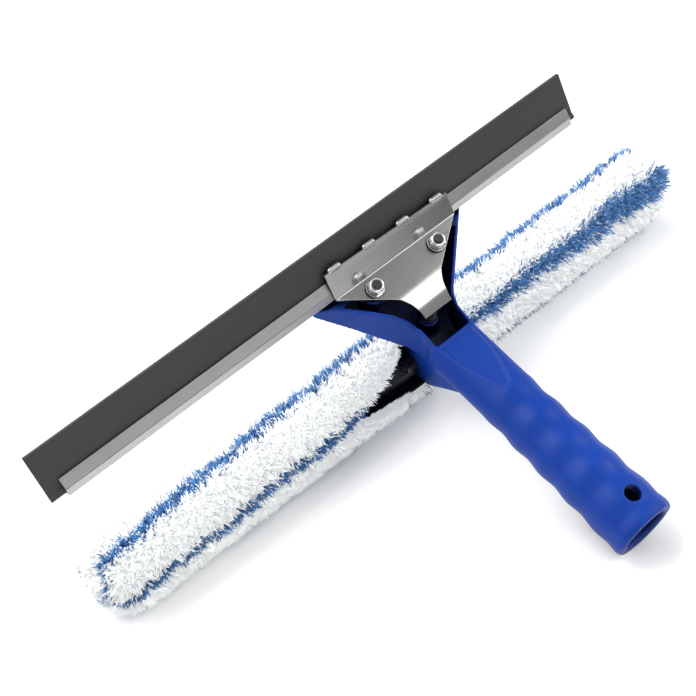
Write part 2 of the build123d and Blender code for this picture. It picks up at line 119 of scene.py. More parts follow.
# %% A class for shader sums
class Wire:
    """A socket in a finish's node tree."""

    def __init__(self, tree, socket=None):
        self.tree = tree
        self.socket = socket

    def node(self, kind, settings=None, sockets=None, out=0):
        """A new node, with its settings made first, then its sockets. Returns one output."""
        made = self.tree.nodes.new(kind)
        for name, value in (settings or {}).items():
            if name == "stops":
                ramp = made.color_ramp.elements
                while len(ramp) < len(value):
                    ramp.new(1.0)
                for stop, (place, level) in zip(ramp, value):
                    stop.position = place
                    stop.color = (level, level, level, 1)
            else:
                setattr(made, name, value)
        for key, value in (sockets or {}).items():
            if isinstance(value, Wire):
                self.tree.links.new(value.socket, made.inputs[key])
            else:
                made.inputs[key].default_value = value
        return Wire(self.tree, made.outputs[out])

    def sums(self, operation, *terms):
        """A Math node over wires and numbers."""
        return self.node("ShaderNodeMath", {"operation": operation}, dict(enumerate(terms)))

    def __add__(self, other):
        return self.sums("ADD", self, other)

    def __mul__(self, other):
        return self.sums("MULTIPLY", self, other)

    __radd__ = __add__
    __rmul__ = __mul__

    def clamped(self):
        """This, kept between 0 and 1."""
        return self.node("ShaderNodeClamp", sockets={"Value": self})

    def speckle(self, scale, detail=2.0, stretch=(1, 1, 1)):
        """Noise from 0 to 1 over a place, with its grain stretched where stretch is below 1."""
        place = self.node(
            "ShaderNodeVectorMath", {"operation": "MULTIPLY"}, {0: self, 1: stretch}
        )
        return self.node(
            "ShaderNodeTexNoise", sockets={"Vector": place, "Scale": scale, "Detail": detail}
        )

    def ramp(self, *stops):
        """Levels between stops, each a place and the level there."""
        return self.node("ShaderNodeValToRGB", {"stops": stops}, {"Fac": self})

    def tint(self, low, high):
        """A colour that goes from low to high as this goes from 0 to 1."""
        return blend(self, (*low, 1), (*high, 1))

    def bump(self, strength, distance, normal=None):
        """A normal that shows this as height, on top of another normal if there is one."""
        sockets = {"Strength": strength, "Distance": distance, "Height": self}
        if normal is not None:
            sockets["Normal"] = normal
        return self.node("ShaderNodeBump", sockets=sockets)


def hollows(place, reach, samples=6):
    """1 in open air, and towards 0 deep in a hollow that is about reach wide."""
    return place.node(
        "ShaderNodeAmbientOcclusion", {"samples": samples}, {"Distance": reach}, out="AO"
    )


def blend(factor, low, high):
    """Mixes two colours, each a wire or four numbers, as factor goes from 0 to 1."""
    sockets = {"Factor": factor, 6: low, 7: high}
    return factor.node("ShaderNodeMix", {"data_type": "RGBA"}, sockets, out=2)


def new_finish(name, **uniform):
    """A material with its uniform values set, its place wire, and a call that feeds its sockets."""
    material = bpy.data.materials.new(name)
    material.use_nodes = True
    tree = material.node_tree
    shader = tree.nodes["Principled BSDF"]
    for key, value in uniform.items():
        shader.inputs[key.replace("_", " ").title().replace("Ior", "IOR")].default_value = value
    place = Wire(tree).node("ShaderNodeTexCoord", out="Object")

    def feed(**wires):
        """Links each wire to the socket of that name."""
        for key, wire in wires.items():
            tree.links.new(wire.socket, shader.inputs[key.replace("_", " ").title()])

    return material, place, feed


def paint(thing, material):
    """Gives every slot of an object one finish."""
    thing.data.materials.clear()
    thing.data.materials.append(material)


# %% [markdown]
# ## The handle's plastic
#
# The handle is one satin blue polypropylene moulding. Such a moulding is never quite even:
# the colour drifts a little with its thickness, the mould leaves a faint orange peel, and use
# scratches it and rubs its edges pale. One flat colour would look like a toy, and a painted
# picture would need a map of the surface, so noise at three scales does it. Pointiness finds
# the edges. Ambient occlusion finds the hollows, wide ones and fine creases, and shade is
# painted into them: near-black blue in the wide hollows and a dark blue line in the creases.

# %% Blue moulded plastic
DEEP_BLUE = (0.0012, 0.027, 0.215)
CLEAR_BLUE = (0.0030, 0.042, 0.300)
RUBBED_BLUE = (0.040, 0.130, 0.520)
HOLLOW_SHADE_BLUE = (0.0004, 0.0025, 0.018)
CREASE_SHADE_BLUE = (0.0006, 0.008, 0.080)
WIDE_HOLLOW = 0.034
FINE_CREASE = 0.0025
blue_plastic, place, feed = new_finish(
    "moulded blue plastic", coat_weight=0.03, coat_roughness=0.20, specular_ior_level=0.15
)
drift = place.speckle(22, 3)
sharp = place.node("ShaderNodeNewGeometry", out="Pointiness")
rub = sharp.ramp((0.55, 0), (0.66, 1)) * place.speckle(160, 4) * 0.35
# Painted shade: a dark blue line along fine creases and steps.
crease_shade = hollows(place, FINE_CREASE, 8).ramp((0.74, 1), (0.94, 0))
body = drift.tint(DEEP_BLUE, CLEAR_BLUE)
# Painted shade: near-black blue deep in the wide hollows, such as the pocket and under the neck.
unshaded = hollows(place, WIDE_HOLLOW).ramp((0.32, 0), (0.82, 1))
colour = blend(unshaded, (*HOLLOW_SHADE_BLUE, 1), blend(rub, body, (*RUBBED_BLUE, 1)))
colour = blend(crease_shade, colour, (*CREASE_SHADE_BLUE, 1))
scratches = place.speckle(90, 5, (1, 0.15, 1)).ramp((0.55, 0), (0.72, 1))
peel = place.speckle(420, 2) * 0.6 + place.speckle(2600, 1) * 0.15
feed(
    base_color=colour,
    roughness=0.42 + scratches * 0.10 + place.speckle(45) * 0.06,
    normal=peel.bump(0.10, 0.0004),
)
print("finish:", blue_plastic.name)

# %% [markdown]
# ## Steel
#
# The clamp plate is polished stainless steel with a faint grain along the blade. The channel is
# brushed, so its grain is coarser and it spreads reflections. The nuts and washers are bright
# plated, and the bolts and the spring are blackened. Shade is painted into the steel's tight
# corners, as a darker grey.
# A Bevel node rounds the sharp rims of the pressed sheet, so that they catch the light as
# real ones do. The plate's front lip has rubbed on the channel, so it is duller than the rest.
# All four are one recipe with other numbers, because only colour, grain and polish differ.


# %% Four steels from one recipe
CORNER_SHADE_GREY = (0.04, 0.04, 0.04, 1)
RIM = 0.00035
DULL = 0.16
DULL_FADE = 0.001
NOWHERE = 9.0
PLATE_LIP = 0.0044


def steel(name, low, high, roughness, grain, grain_depth, smear, dull_from=NOWHERE):
    """One steel, duller by DULL where its place is past dull_from along y."""
    material, place, feed = new_finish(name, metallic=1.0)
    rims = place.node("ShaderNodeBevel", {"samples": 4}, {"Radius": RIM})
    brush = place.speckle(2400, 3, (0.012, 1, 1))
    smudge = place.speckle(38, 4).ramp((0.45, 0), (0.75, 1))
    # Painted shade: the steel turns dark grey in its tight corners.
    corners = hollows(place, 0.004).ramp((0.38, 0), (0.78, 1))
    along = place.node("ShaderNodeSeparateXYZ", sockets={0: place}, out="Y")
    reach = {"Value": along, "From Min": dull_from, "From Max": dull_from + DULL_FADE}
    lip = place.node("ShaderNodeMapRange", sockets=reach)
    body = (brush * 0.6 + place.speckle(60) * 0.4).clamped().tint(low, high)
    feed(
        base_color=blend(corners, CORNER_SHADE_GREY, body),
        roughness=roughness + brush * grain + smudge * smear + lip * DULL,
        normal=brush.bump(grain_depth, 0.0001, rims),
    )
    return material


lip_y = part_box("clamp_plate")[1].y - PLATE_LIP
polished = steel(
    "polished steel", (0.35, 0.35, 0.345), (0.47, 0.47, 0.46),
    roughness=0.13, grain=0.05, grain_depth=0.02, smear=0.05, dull_from=lip_y,
)
brushed = steel(
    "brushed steel", (0.31, 0.31, 0.305), (0.47, 0.47, 0.465),
    roughness=0.24, grain=0.20, grain_depth=0.16, smear=0.05,
)
plated = steel(
    "bright plating", (0.66, 0.66, 0.67), (0.80, 0.80, 0.80),
    roughness=0.06, grain=0.04, grain_depth=0.02, smear=0.06,
)
dark = steel(
    "blackened steel", (0.035, 0.035, 0.037), (0.090, 0.090, 0.093),
    roughness=0.24, grain=0.12, grain_depth=0.06, smear=0.08,
)
print("finishes:", polished.name, brushed.name, plated.name, dark.name)

# %% [markdown]
# ## Rubber, bar and tapes
#
# The blade is extruded rubber: dark grey, matte, with fine lines along it from the die and a
# little bloom. Noise stretched along the blade gives the lines. The T-bar inside the sleeve is
# plain black plastic. The tapes that close the sleeve are woven nylon, whose weave is a wave
# texture in the bump.

# %% Rubber, black plastic and nylon
rubber, place, feed = new_finish(
    "blade rubber", sheen_weight=0.06, sheen_roughness=0.5, specular_ior_level=0.35
)
die_lines = place.speckle(1800, 2, (0.004, 1, 1))
bloom = place.speckle(30, 4, (0.4, 1, 1))
grit = place.speckle(2500, 1)
# Painted shade: the rubber goes near black deep in its hollows.
unshaded_rubber = hollows(place, 0.006).ramp((0.35, 0), (0.8, 1))
rubber_grey = (bloom * 0.7 + die_lines * 0.3).clamped()
rubber_grey = rubber_grey.tint((0.019, 0.019, 0.020), (0.038, 0.038, 0.038))
feed(
    base_color=blend(unshaded_rubber, (0.004, 0.004, 0.004, 1), rubber_grey),
    roughness=0.46 + bloom * 0.12 + grit * 0.08,
    normal=(die_lines * 0.8 + grit * 0.2).bump(0.14, 0.0001),
)
bar_plastic, place, feed = new_finish("black bar plastic")
feed(
    base_color=place.speckle(40, 3).tint((0.002, 0.004, 0.012), (0.005, 0.008, 0.026)),
    roughness=0.42 + place.speckle(300) * 0.15,
    normal=place.speckle(1500).bump(0.12, 0.0002),
)
nylon, place, feed = new_finish("nylon tape", sheen_weight=0.2)
threads = {"Vector": place, "Scale": 900.0, "Distortion": 0.6}
weave = place.node("ShaderNodeTexWave", {"wave_type": "BANDS"}, threads)
feed(
    base_color=place.speckle(500, 2).tint((0.55, 0.57, 0.57), (0.78, 0.80, 0.80)),
    roughness=0.80 + place.speckle(400) * 0.1,
    normal=weave.bump(0.4, 0.0002),
)
print("finishes:", rubber.name, bar_plastic.name, nylon.name)

# %% [markdown]
# ## Finishes on the measured parts
#
# The sheet metal, the fasteners, the rubber and the bar have the right shape already, with
# their bends, teeth and flats, so they are only given their finishes.

# %% Dress the measured parts
DRESS = {
    "clamp_plate": polished,
    "channel": brushed,
    "rubber_blade": rubber,
    "t_bar": bar_plastic,
}
for name in nodes:
    if name.startswith(("clamp_nut", "clamp_washer")):
        DRESS[name] = plated
    if name.startswith(("clamp_bolt", "stem_")):
        DRESS[name] = dark
for name, material in DRESS.items():
    paint(nodes[name], material)
print("dressed:", len(DRESS))

# %% [markdown]
# ## The moulded handle
#
# A moulding has no knife edges: its corners are rounded and its arms flow into the grip. The
# measured handle has crisp corners, so its surface is copied, covered with an even net of
# small squares, and relaxed. Relaxing moves each point towards the middle of its neighbours,
# which rounds a sharp edge and leaves a smooth face where it is. A bevel on each edge would be
# the other way, but it fails where several curved faces meet in one corner. Where the arms meet
# the grip the net is relaxed for longer. Last, it is thinned where it is nearly flat.

# %% Net and relax the handle
NET = 0.00062
HANDLE_FACES = 190000
NECK_ALONG = 0.084
NECK_REACH = 0.022
NECK_TOP = -0.004
RELAX = 0.5


def linked(name, data):
    """A new object with that data, in the scene."""
    thing = bpy.data.objects.new(name, data)
    bpy.context.scene.collection.objects.link(thing)
    return thing


def applied(thing, name):
    """The object's mesh with its modifiers applied, as a new object in its place."""
    solid = thing.evaluated_get(bpy.context.evaluated_depsgraph_get())
    made = linked(name, bpy.data.meshes.new_from_object(solid))
    bpy.data.meshes.remove(thing.data)
    made.name = made.data.name = name
    return made


def round_off(thing):
    """Shades an object's faces as one curved surface."""
    for face in thing.data.polygons:
        face.use_smooth = True


def points_of(mesh):
    """A mesh's points as rows of x, y and z."""
    flat = np.empty(len(mesh.vertices) * 3)
    mesh.vertices.foreach_get("co", flat)
    return flat.reshape(-1, 3)


def relax(points, edges, share, rounds):
    """Moves points towards their neighbours' middle, by a share that differs per point."""
    first, second = edges[:, 0], edges[:, 1]
    number = np.bincount(edges.ravel(), minlength=len(points))[:, None]
    for _ in range(rounds):
        total = np.zeros_like(points)
        for axis in range(3):
            total[:, axis] = np.bincount(first, points[second, axis], len(points))
            total[:, axis] += np.bincount(second, points[first, axis], len(points))
        points = points + share * (total / number - points)
    return points


def tool_places(points):
    """Points given along the tool's own directions: across, along the handle, and up."""
    away = points - np.array(AXIS_POINT)
    return np.stack([away @ np.array(d) for d in (ACROSS, ALONG, UP)], axis=1)


rough = linked("handle_rough", nodes["handle_body"].data.copy())
net = rough.modifiers.new("net", "REMESH")
net.mode = "VOXEL"
net.voxel_size = NET
handle = applied(rough, "handle_shell")
points = points_of(handle.data)
edges = np.empty(len(handle.data.edges) * 2, np.int64)
handle.data.edges.foreach_get("vertices", edges)
edges = edges.reshape(-1, 2)
away = tool_places(points)
under_neck = np.exp(-(((away[:, 1] - NECK_ALONG) / NECK_REACH) ** 2)) * (away[:, 2] < NECK_TOP)
points = relax(points, edges, RELAX, rounds=3)
points = relax(points, edges, RELAX * under_neck[:, None], rounds=30)
handle.data.vertices.foreach_set("co", points.ravel())
handle.data.update()
thin = handle.modifiers.new("thin", "DECIMATE")
thin.ratio = min(1.0, HANDLE_FACES / (2 * len(handle.data.polygons)))
handle = applied(handle, "handle_shell")
round_off(handle)
paint(handle, blue_plastic)
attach(handle, "handle")
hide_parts("handle_body")
print("handle faces:", len(handle.data.polygons))

# %% [markdown]
# ## The tongue's spring
#
# A small coil spring under the clamp's tongue keeps the jaw shut. Pressing the tongue shortens
# it. A coil that kept its length would stand through the tongue as the clamp opens. Here the
# coil is a piece of its own, with its own copy of the mesh, on the handle.

# %% The tongue's coil
spring = linked("tongue_coil", nodes["tongue_spring"].data.copy())
paint(spring, dark)
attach(spring, "handle")
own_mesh(spring)
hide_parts("tongue_spring")

# %% [markdown]
# ## The sleeve's cloth
#
# The sleeve is a tube of knitted microfibre with gathered, rounded ends and a slit that lets the
# stem through. The slit gapes on the left of the stem, where the pile doesn't close it. A cloth
# simulation would add nothing, because the bar holds the sleeve taut. A tube is a profile turned
# round an axis, so both the cloth and the pile on it are worked out from one profile: how far
# along, how wide, and which way it faces. The sleeve sits a degree askew on its bar, and is
# pushed a little to the left.

# %% The sleeve's profile
PILE_DEPTH = 0.0045
CLOTH_R = SLEEVE_R - PILE_DEPTH
CLOTH_THICK = 0.0009
TIGHTEST = 0.0008
RIPPLE = 0.012
DOME = 0.013
LEFT_PUFF = 0.0072
RIGHT_SHY = 0.0060
ASKEW = math.radians(-1.0)
SLIT_HALF = 0.0125
SLIT_FROM = math.radians(100)
SLIT_TO = math.radians(211)
GAPE = 0.042
GAPE_TURN = math.radians(168)
GAPE_WIDE = math.radians(26)
quarter = np.linspace(0, math.pi / 2, 14)
straight = np.linspace(0, 1, 160)[1:-1]
near, far = SLEEVE_LEFT - LEFT_PUFF, SLEEVE_RIGHT - RIGHT_SHY
profile_x = np.concatenate([
    near + DOME - DOME * np.cos(quarter),
    near + DOME + (far - near - 2 * DOME) * straight,
    far - DOME + DOME * np.sin(quarter),
])
profile_r = CLOTH_R * np.concatenate([np.sin(quarter), np.ones_like(straight), np.cos(quarter)])
profile_r = np.maximum(profile_r, TIGHTEST)
facing_x = -np.gradient(profile_r)
facing_r = np.gradient(profile_x)
facing_size = np.hypot(facing_x, facing_r)
facing_x, facing_r = facing_x / facing_size, facing_r / facing_size
middle_x = (SLEEVE_LEFT + SLEEVE_RIGHT) / 2


def on_sleeve(x, turn, radius):
    """Points at a place along the sleeve, a turn round it and a distance from its axis."""
    flat = np.stack([x - middle_x, radius * np.cos(turn), radius * np.sin(turn)], axis=1)
    return askew(flat) + np.array([middle_x, SLEEVE_MID.y, SLEEVE_MID.z])


def askew(vectors):
    """Turns vectors by the sleeve's small angle on its bar."""
    c, s = math.cos(ASKEW), math.sin(ASKEW)
    x, y, z = vectors.T
    return np.stack([x * c - y * s, x * s + y * c, z], axis=1)


def in_slit(x, turn, spare=0.0):
    """Whether a place is in the slit, or within spare of it."""
    turn = np.mod(turn, 2 * math.pi)
    beside = x - AXIS_POINT.x
    gape = GAPE * np.exp(-(((turn - GAPE_TURN) / GAPE_WIDE) ** 2))
    beside = (beside > -SLIT_HALF - spare - gape) & (beside < SLIT_HALF + spare)
    return beside & (turn > SLIT_FROM - spare / CLOTH_R) & (turn < SLIT_TO + spare / CLOTH_R)


# %% Weave the tube
TURNS = 96
rows, columns = np.meshgrid(np.arange(len(profile_x)), np.arange(TURNS), indexing="ij")
turn = 2 * math.pi * columns.ravel() / TURNS
ripple = 1 + RIPPLE * np.sin(5 * turn + 60 * profile_x[rows.ravel()])
cloth_points = on_sleeve(profile_x[rows.ravel()], turn, profile_r[rows.ravel()] * ripple)
cells = []
for i in range(len(profile_x) - 1):
    for j in range(TURNS):
        mid_x = (profile_x[i] + profile_x[i + 1]) / 2
        mid_turn = 2 * math.pi * (j + 0.5) / TURNS
        if not in_slit(mid_x, mid_turn):
            k = (j + 1) % TURNS
            cells.append((i * TURNS + j, i * TURNS + k, (i + 1) * TURNS + k, (i + 1) * TURNS + j))
cloth_mesh = bpy.data.meshes.new("sleeve_cloth")
cloth_mesh.from_pydata(cloth_points.tolist(), [], cells)
cloth_mesh.validate()
cloth_mesh.update()
cloth = linked("sleeve_cloth", cloth_mesh)
hem = cloth.modifiers.new("thickness", "SOLIDIFY")
hem.thickness = CLOTH_THICK
hem.offset = 0
cloth = applied(cloth, "sleeve_cloth")
round_off(cloth)
print("cloth faces:", len(cloth.data.polygons))

# %% [markdown]
# ## Pile
#
# The pile is thousands of short limp strands that cling together in locks. Hair would be quick
# to make, but it wouldn't be part of the mesh. So every strand is a thin three-sided spike,
# made with whole arrays at once: its root on the cloth, a bend, and a tip that is drawn to the
# nearest lock. Strands that would go through the table are pressed flat on it. Matted fibres
# pass light on to each other, so their normals are turned most of the way to the cloth's.

# %% Strands as arrays
rng = np.random.default_rng(11)
FLOOR_SOFT = 0.003
SOFTNESS = 0.90
STRAND_POINTS = 7


def scatter(number):
    """Even random places on the profile: x, turn, radius, and which way the cloth faces."""
    length = np.hypot(np.diff(profile_x), np.diff(profile_r))
    area = length * (profile_r[1:] + profile_r[:-1])
    total = np.concatenate([[0], np.cumsum(area)]) / area.sum()
    at = np.interp(rng.random(number), total, np.arange(len(profile_x)))
    turn = rng.random(number) * 2 * math.pi
    steps = np.arange(len(profile_x))
    profile = (profile_x, profile_r, facing_x, facing_r)
    x, radius, out_x, out_r = (np.interp(at, steps, a) for a in profile)
    return x, turn, radius, out_x, out_r


def unit(vectors):
    """Vectors made 1 long."""
    return vectors / np.maximum(np.linalg.norm(vectors, axis=1, keepdims=True), 1e-9)


def press(points):
    """Eases points up to the table, so that what would be under it lies flat on it."""
    low = points[:, 2] < FLOOR_SOFT
    points[low, 2] = FLOOR_SOFT * np.exp((points[low, 2] - FLOOR_SOFT) / FLOOR_SOFT)
    return points


def soften(mesh, facing):
    """Turns each point's normal most of the way to the cloth's, as light sees matted fibres."""
    own = np.empty(len(mesh.vertices) * 3)
    mesh.vertices.foreach_get("normal", own)
    mixed = unit(own.reshape(-1, 3) * (1 - SOFTNESS) + facing * SOFTNESS)
    mesh.normals_split_custom_set_from_vertices(mixed.tolist())


def spikes(name, root, tip, bend, width, facing, material, tone):
    """One mesh of bent three-sided spikes. tone is a number per strand for its colour."""
    number = len(root)
    run = unit(tip - root)
    helper = np.where(np.abs(run[:, 2:3]) < 0.8, [[0.0, 0.0, 1.0]], [[1.0, 0.0, 0.0]])
    side = unit(np.cross(run, helper))
    other = np.cross(run, side)
    levels = ((0.0, 1.0), (0.55, 0.78))
    rings = []
    for share, thick in levels:
        middle_line = root + (tip - root) * share + bend * 4 * share * (1 - share)
        for k in range(3):
            angle = 2 * math.pi * k / 3
            ring = side * math.cos(angle) + other * math.sin(angle)
            rings.append(middle_line + ring * (width * thick / 2)[:, None])
    points = press(np.stack([*rings, tip], axis=1).reshape(-1, 3))
    base = STRAND_POINTS * np.arange(number)[:, None]
    quads = np.array([[0, 1, 4, 3], [1, 2, 5, 4], [2, 0, 3, 5]])
    caps = np.array([[3, 4, 6], [4, 5, 6], [5, 3, 6], [0, 2, 1]])
    corners = [(base[:, :, None] + a).reshape(number, a.size) for a in (quads, caps)]
    loops = np.concatenate(corners, axis=1)
    sizes = np.tile([4, 4, 4, 3, 3, 3, 3], number)
    mesh = bpy.data.meshes.new(name)
    mesh.vertices.add(len(points))
    mesh.vertices.foreach_set("co", points.ravel())
    mesh.loops.add(loops.size)
    mesh.loops.foreach_set("vertex_index", loops.ravel())
    mesh.polygons.add(len(sizes))
    mesh.polygons.foreach_set("loop_start", np.concatenate([[0], np.cumsum(sizes)[:-1]]))
    mesh.polygons.foreach_set("use_smooth", np.ones(len(sizes), bool))
    tips = np.tile([0, 0, 0, 0.5, 0.5, 0.5, 1.0], number)
    for key, values in (("tip", tips), ("tone", np.repeat(tone, STRAND_POINTS))):
        layer = mesh.attributes.new(key, "FLOAT", "POINT")
        layer.data.foreach_set("value", values.astype(np.float32))
    mesh.update(calc_edges=True)
    mesh.validate()
    soften(mesh, np.repeat(facing, STRAND_POINTS, axis=0))
    thing = linked(name, mesh)
    paint(thing, material)
    return thing


# %% [markdown]
# ## The stripes
#
# Blue stripes run along the sleeve, five of them round it, and they wander because the sleeve
# has twisted on its bar. Each one is written as its turn round the sleeve, in degrees, at four
# places: beside the slit and at the end, on the left half and on the right. At the left end the
# top stripe curls down round the dome. A stripe is made of strands of its own, not painted on,
# so its edges are as ragged as real ones.

# %% Where the stripes run
STRIPES = (
    (71, 107, 84, 76),
    (158, 177, 145, 145),
    (228, 248, 211, 227),
    (300, 320, 308, 300),
    (12, 16, 16, 10),
)
STRIPE_HALF = 0.0026
CURL = 75
CURL_STRIPE = 0
CURL_FROM = 0.55
CURL_OVER = 0.45
STRIPES_FROM = 0.05
STRIPES_TO = 0.3
THICK_STRIPE = 0
LOOSE_STRIPE = 1


def stripe_gap(x, turn):
    """How far each place is from the nearest stripe's middle, and which stripe that is."""
    best = np.full(len(x), NOWHERE)
    which = np.zeros(len(x), int)
    left = x < AXIS_POINT.x
    half = np.where(left, AXIS_POINT.x - SLEEVE_LEFT, SLEEVE_RIGHT - AXIS_POINT.x)
    share = np.abs(x - AXIS_POINT.x) / half
    curl = np.clip((near + CURL_FROM * DOME - x) / (CURL_OVER * DOME), 0, 1) * CURL
    for number, (left_slit, left_end, right_slit, right_end) in enumerate(STRIPES):
        on_left = left_slit + (left_end - left_slit) * share + (curl if number == CURL_STRIPE else 0)
        degrees = np.where(left, on_left, right_slit + (right_end - right_slit) * share)
        wander = 2.2 * np.sin(x * 95 + number * 2) + 1.3 * np.sin(x * 310 + number)
        off = np.mod(turn - np.radians(degrees + wander) + math.pi, 2 * math.pi) - math.pi
        gap = np.abs(off) * SLEEVE_R
        which = np.where(gap < best, number, which)
        best = np.minimum(best, gap)
    bare = (x < near + STRIPES_FROM * DOME) | (x > far - STRIPES_TO * DOME)
    return np.where(bare, NOWHERE, best), which


def loose_share(x, which):
    """From 0 to 1 along the right half of the stripe that has come loose, and 0 elsewhere."""
    along = np.clip((x - AXIS_POINT.x) / (SLEEVE_RIGHT - AXIS_POINT.x), 0, 1)
    return np.where(which == LOOSE_STRIPE, along, 0)


# %% [markdown]
# ## The pile's colour
#
# A strand is darker and greyer at its root, where light hardly reaches, and each has a tone of
# its own. Both are numbers kept with the mesh, and the finish reads them. The white strands and
# the knit they are tied into glow a little, as painted light that makes them whiter than the
# lamps do. The knit is white outside, and its inside faces are painted near black, as shade.


# %% Two colours of pile
def pile_finish(name, glow, root_low, tip_low, root_high, tip_high):
    """A finish from root to tip, between a low and a high tone, that glows by glow as painted light.
    """
    material, place, feed = new_finish(
        name, roughness=0.85, sheen_weight=0.35, sheen_roughness=0.4, emission_strength=glow
    )
    tip = place.node("ShaderNodeAttribute", {"attribute_name": "tip"}, out="Fac")
    tone = place.node("ShaderNodeAttribute", {"attribute_name": "tone"}, out="Fac")
    shade = (tip * 0.8 + place.speckle(260, 3) * 0.35).clamped()
    low = shade.tint(root_low, tip_low)
    high = shade.tint(root_high, tip_high)
    colour = blend(tone, low, high)
    feed(base_color=colour, emission_color=colour, normal=place.speckle(3000, 1).bump(0.3, 0.0003))
    return material


# Painted light: the white strands glow, so they look whiter than the lamps make them.
white_pile = pile_finish(
    "white pile", 0.32,
    root_low=(0.84, 0.87, 0.87), tip_low=(0.93, 0.95, 0.95),
    root_high=(0.90, 0.92, 0.92), tip_high=(0.96, 0.97, 0.97),
)
blue_pile = pile_finish(
    "blue pile", 0.0,
    root_low=(0.008, 0.050, 0.180), tip_low=(0.035, 0.160, 0.450),
    root_high=(0.020, 0.105, 0.350), tip_high=(0.130, 0.370, 0.780),
)
# Painted light: the knit glows a little, as the white strands do.
knit, place, feed = new_finish("white knit", sheen_weight=0.3, emission_strength=0.2)
thread = place.speckle(700, 3).tint((0.80, 0.83, 0.83), (0.92, 0.94, 0.94))
feed(
    base_color=thread,
    emission_color=thread,
    roughness=0.85 + place.speckle(300) * 0.1,
    normal=place.speckle(1600, 2).bump(0.8, 0.0006),
)
paint(cloth, knit)

# %% Painted shade on the inside
# Painted shade: the cloth's inside faces are near black, for the shade inside the tube.
inside_shade, place, feed = new_finish("dark lining", sheen_weight=0.1)
feed(
    base_color=place.speckle(600, 3).tint((0.003, 0.005, 0.014), (0.010, 0.014, 0.034)),
    roughness=0.80 + place.speckle(300) * 0.1,
    normal=place.speckle(1600, 2).bump(0.6, 0.0005),
)
cloth.data.materials.append(inside_shade)
centres = np.array([f.center for f in cloth.data.polygons])
normals = np.array([f.normal for f in cloth.data.polygons])
from_axis = centres - np.array([0, SLEEVE_MID.y, SLEEVE_MID.z])
inside = (from_axis * normals)[:, 1:].sum(axis=1) < 0
cloth.data.polygons.foreach_set("material_index", inside.astype(np.int32))
print("lining faces:", int(inside.sum()), "of", len(inside))

# %% Grow the white pile
LOCKS = 5200
WHITE = 72000
PILE_LONG = 0.0072
ROOT_LIFT = 0.0003
WHITE_CLEAR = 0.0012
LOCK_SPREAD = 0.38
BEND = 0.10
lock_x, lock_turn, lock_r, lock_out_x, lock_out_r = scatter(LOCKS)
lock_tree = kdtree.KDTree(LOCKS)
for i in range(LOCKS):
    lock_tree.insert((lock_x[i], lock_turn[i] * CLOTH_R, 0), i)
lock_tree.balance()


def outward(x, turn, out_x, out_r):
    """Which way the cloth faces at each place."""
    return askew(np.stack([out_x, out_r * np.cos(turn), out_r * np.sin(turn)], axis=1))


lock_root = on_sleeve(lock_x, lock_turn, lock_r)
lock_out = outward(lock_x, lock_turn, lock_out_x, lock_out_r)
lock_way = unit(lock_out + rng.normal(0, LOCK_SPREAD, (LOCKS, 3)))
lock_tip = lock_root + lock_way * (PILE_LONG * rng.uniform(0.75, 1.15, LOCKS))[:, None]


def grow(places, length, width, cling, spread):
    """Roots, tips, bends, widths and facings of strands at those places."""
    x, turn, radius, out_x, out_r = places
    number = len(x)
    root = on_sleeve(x, turn, radius + ROOT_LIFT)
    way = unit(outward(x, turn, out_x, out_r) + rng.normal(0, spread, (number, 3)))
    tip = root + way * (length * rng.uniform(0.7, 1.15, number))[:, None]
    nearest = np.array([lock_tree.find((a, b * CLOTH_R, 0))[1] for a, b in zip(x, turn)])
    tip = tip + (lock_tip[nearest] - tip) * cling * rng.uniform(0.5, 1.0, number)[:, None]
    bend = rng.normal(0, BEND, (number, 3)) * length[:, None]
    return root, tip, bend, width * rng.uniform(0.8, 1.25, number), outward(x, turn, out_x, out_r)


def chosen(places, keep):
    """Only the places to keep."""
    return tuple(a[keep] for a in places)


field = scatter(WHITE * 2)
gap, _ = stripe_gap(field[0], field[1])
ragged = STRIPE_HALF * rng.uniform(0.55, 1.25, len(gap))
clear = ~in_slit(field[0], field[1], WHITE_CLEAR) & (gap > ragged)
white_places = chosen(field, np.flatnonzero(clear)[:WHITE])
length = np.full(len(white_places[0]), PILE_LONG)
root, tip, bend, width, facing = grow(white_places, length, width=0.00085, cling=0.55, spread=0.26)
tone = rng.random(len(root))
quarters = ("pile_left_outer", "pile_left_inner", "pile_right_inner", "pile_right_outer")
piles = []
share = (white_places[0] - near) / (far - near)
for number, name in enumerate(quarters):
    keep = np.floor(np.clip(share, 0, 0.9999) * len(quarters)) == number
    strands = (a[keep] for a in (root, tip, bend, width, facing))
    piles.append(spikes(name, *strands, white_pile, tone[keep]))
    print(name, "strands:", int(keep.sum()))

# %% [markdown]
# ## The blue strands
#
# The blue yarn is coarser than the white, and stands a little proud. The stripe that faces forward
# on the right half has come loose, and its strands get longer towards the end. The top stripe
# on the left half is a little thicker than the others.

# %% Grow the stripes
BLUE = 18500
BLUE_LONG = 0.0078
LOOSE_LONG = 0.0095
LOOSE_WIDE = 1.3
THICK_WIDE = 0.45
BLUE_CLEAR = 0.0006
field = scatter(BLUE * 12)
gap, which = stripe_gap(field[0], field[1])
loose = loose_share(field[0], which)
thick = (which == THICK_STRIPE) & (field[0] < AXIS_POINT.x)
wide = STRIPE_HALF * rng.uniform(0.5, 1.2, len(gap)) * (1 + LOOSE_WIDE * loose + THICK_WIDE * thick)
blue = ~in_slit(field[0], field[1], BLUE_CLEAR) & (gap < wide)
keep = np.flatnonzero(blue)[:BLUE]
blue_places = chosen(field, keep)
length = BLUE_LONG + LOOSE_LONG * loose[keep]
strands = grow(blue_places, length, width=0.0010, cling=0.50, spread=0.46)
stripes = spikes("pile_stripes", *strands, blue_pile, rng.random(len(keep)))
print("blue strands:", len(keep))

